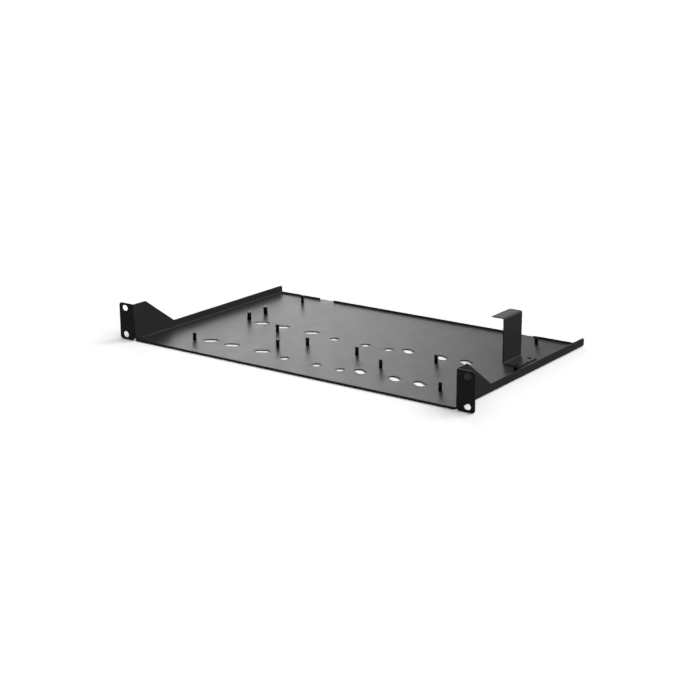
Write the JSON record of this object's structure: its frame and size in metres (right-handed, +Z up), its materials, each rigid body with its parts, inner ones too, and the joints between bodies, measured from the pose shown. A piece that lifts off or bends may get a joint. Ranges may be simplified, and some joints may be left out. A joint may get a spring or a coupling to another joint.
{
  "type": "rack shelf",
  "caption": "One-unit rack shelf folded from black steel sheet, with slotted ears, floor openings, locating pins and a Z-shaped hold-down bracket.",
  "frame": {"origin": "middle of the base: midway between the ears, midway from the ears' front to the rear end of the side flanges, level with the floor's underside", "axes": "+X to the shelf's right seen from the front, along the rack's width; +Y back into the rack; +Z up"},
  "size_m": [0.4826, 0.2784, 0.054],
  "materials": {
    "black_coat": "semi-gloss black powder coat on steel sheet",
    "pin_coat": "semi-gloss black coat on steel pins"
  },
  "bodies": {
    "root": {"shelf_tray": "black_coat", "hold_down_bracket": "black_coat", "locating_pin_01": "pin_coat", "locating_pin_02": "pin_coat", "locating_pin_03": "pin_coat", "locating_pin_04": "pin_coat", "locating_pin_05": "pin_coat", "locating_pin_06": "pin_coat", "locating_pin_07": "pin_coat", "locating_pin_08": "pin_coat", "locating_pin_09": "pin_coat", "locating_pin_10": "pin_coat", "locating_pin_11": "pin_coat", "locating_pin_12": "pin_coat", "locating_pin_13": "pin_coat"}
  },
  "joints": []
}
